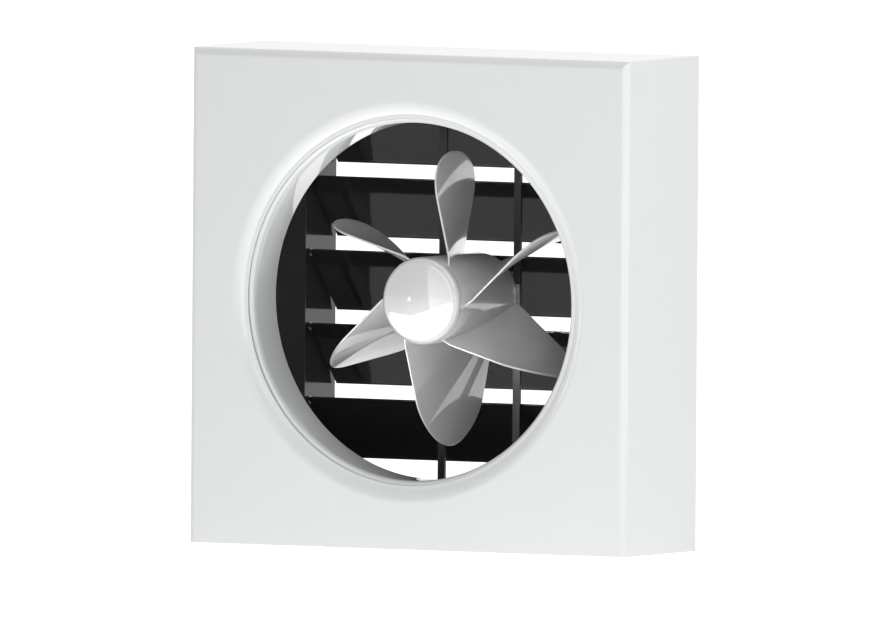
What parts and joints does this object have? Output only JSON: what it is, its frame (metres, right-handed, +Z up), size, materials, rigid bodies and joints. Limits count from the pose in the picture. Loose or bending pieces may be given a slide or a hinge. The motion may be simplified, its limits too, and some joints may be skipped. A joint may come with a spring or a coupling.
{
  "type": "window exhaust fan",
  "caption": "Square white exhaust fan with a dished round inlet, an impeller on a hub motor held by two bars, and a ganged louvre shutter behind.",
  "frame": {"origin": "middle of the underside of the bounding box, on the flat bottom of the casing", "axes": "+Z up, +Y the way the air leaves, from the room side to the shutter, +X to the right seen from the room side"},
  "size_m": [0.5, 0.2196, 0.5],
  "materials": {
    "casing_paint": "satin white powder coat",
    "black_paint": "semi-gloss black paint",
    "bar_paint": "semi-gloss dark grey paint",
    "slat_black": "semi-gloss black paint on aluminium",
    "hub_gloss": "gloss white enamel",
    "nose_gloss": "gloss white",
    "blade_gloss": "gloss light grey enamel",
    "die_cast": "as cast",
    "lamination": "stacked steel sheet",
    "bearing_steel": "ground steel",
    "copper": "varnished copper wire",
    "zinc": "zinc plated",
    "rubber": "matt black"
  },
  "bodies": {
    "casing": {"front_panel": "casing_paint", "casing_walls": "casing_paint", "inlet_shroud": "casing_paint", "rear_panel": "black_paint", "cable_grommet": "rubber", "motor_bar_left": "bar_paint", "motor_bar_right": "bar_paint", "motor_plate": "die_cast", "stator_core": "lamination", "winding_front": "copper", "winding_rear": "copper", "bearing_front": "bearing_steel", "bearing_rear": "bearing_steel", "shutter_frame": "black_paint", "panel_screw_1": "zinc", "panel_screw_2": "zinc", "panel_screw_3": "zinc", "panel_screw_4": "zinc", "panel_screw_5": "zinc", "panel_screw_6": "zinc", "panel_screw_7": "zinc", "panel_screw_8": "zinc", "bar_screw_1": "zinc", "bar_screw_2": "zinc", "bar_screw_3": "zinc", "bar_screw_4": "zinc", "shutter_screw_1": "zinc", "shutter_screw_2": "zinc", "shutter_screw_3": "zinc", "shutter_screw_4": "zinc", "motor_screw_1": "zinc", "motor_screw_2": "zinc", "motor_screw_3": "zinc", "motor_screw_4": "zinc"},
    "impeller": {"rotor_shell": "hub_gloss", "nose_cap": "nose_gloss", "rotor_cage": "lamination", "motor_shaft": "bearing_steel", "shaft_nut": "zinc", "blade_1": "blade_gloss", "blade_2": "blade_gloss", "blade_3": "blade_gloss", "blade_4": "blade_gloss", "blade_5": "blade_gloss", "blade_6": "blade_gloss"},
    "slat_1_body": {"slat_1": "slat_black"},
    "slat_2_body": {"slat_2": "slat_black"},
    "slat_3_body": {"slat_3": "slat_black"},
    "slat_4_body": {"slat_4": "slat_black"},
    "slat_5_body": {"slat_5": "slat_black"},
    "tie_body": {"tie_bar": "bar_paint", "link_pin_1": "zinc", "link_pin_2": "zinc", "link_pin_3": "zinc", "link_pin_4": "zinc", "link_pin_5": "zinc"}
  },
  "joints": [
    {"name": "impeller_spin", "type": "hinge", "parent": "casing", "child": "impeller", "pos_m": [0, 0, 0.25], "axis": [0, 1, 0], "continuous": true},
    {"name": "slat_1_swing", "type": "hinge", "parent": "casing", "child": "slat_1_body", "pos_m": [0, 0.0488, 0.43828], "axis": [1, 0, 0], "range_deg": [-38, 33]},
    {"name": "slat_2_swing", "type": "hinge", "parent": "casing", "child": "slat_2_body", "pos_m": [0, 0.0488, 0.36381], "axis": [1, 0, 0], "range_deg": [-38, 33]},
    {"name": "slat_3_swing", "type": "hinge", "parent": "casing", "child": "slat_3_body", "pos_m": [0, 0.0488, 0.28934], "axis": [1, 0, 0], "range_deg": [-38, 33]},
    {"name": "slat_4_swing", "type": "hinge", "parent": "casing", "child": "slat_4_body", "pos_m": [0, 0.0488, 0.21487], "axis": [1, 0, 0], "range_deg": [-38, 33]},
    {"name": "slat_5_swing", "type": "hinge", "parent": "casing", "child": "slat_5_body", "pos_m": [0, 0.0488, 0.1404], "axis": [1, 0, 0], "range_deg": [-38, 33]},
    {"name": "tie_bar_pivot", "type": "hinge", "parent": "slat_1_body", "child": "tie_body", "pos_m": [0.1715, 0.0301, 0.42022], "axis": [1, 0, 0], "range_deg": [-33, 38]}
  ],
  "couplings": [
    {"joint": "slat_2_swing", "follows": "slat_1_swing", "ratio": 1},
    {"joint": "slat_3_swing", "follows": "slat_1_swing", "ratio": 1},
    {"joint": "slat_4_swing", "follows": "slat_1_swing", "ratio": 1},
    {"joint": "slat_5_swing", "follows": "slat_1_swing", "ratio": 1},
    {"joint": "tie_bar_pivot", "follows": "slat_1_swing", "ratio": -1}
  ]
}
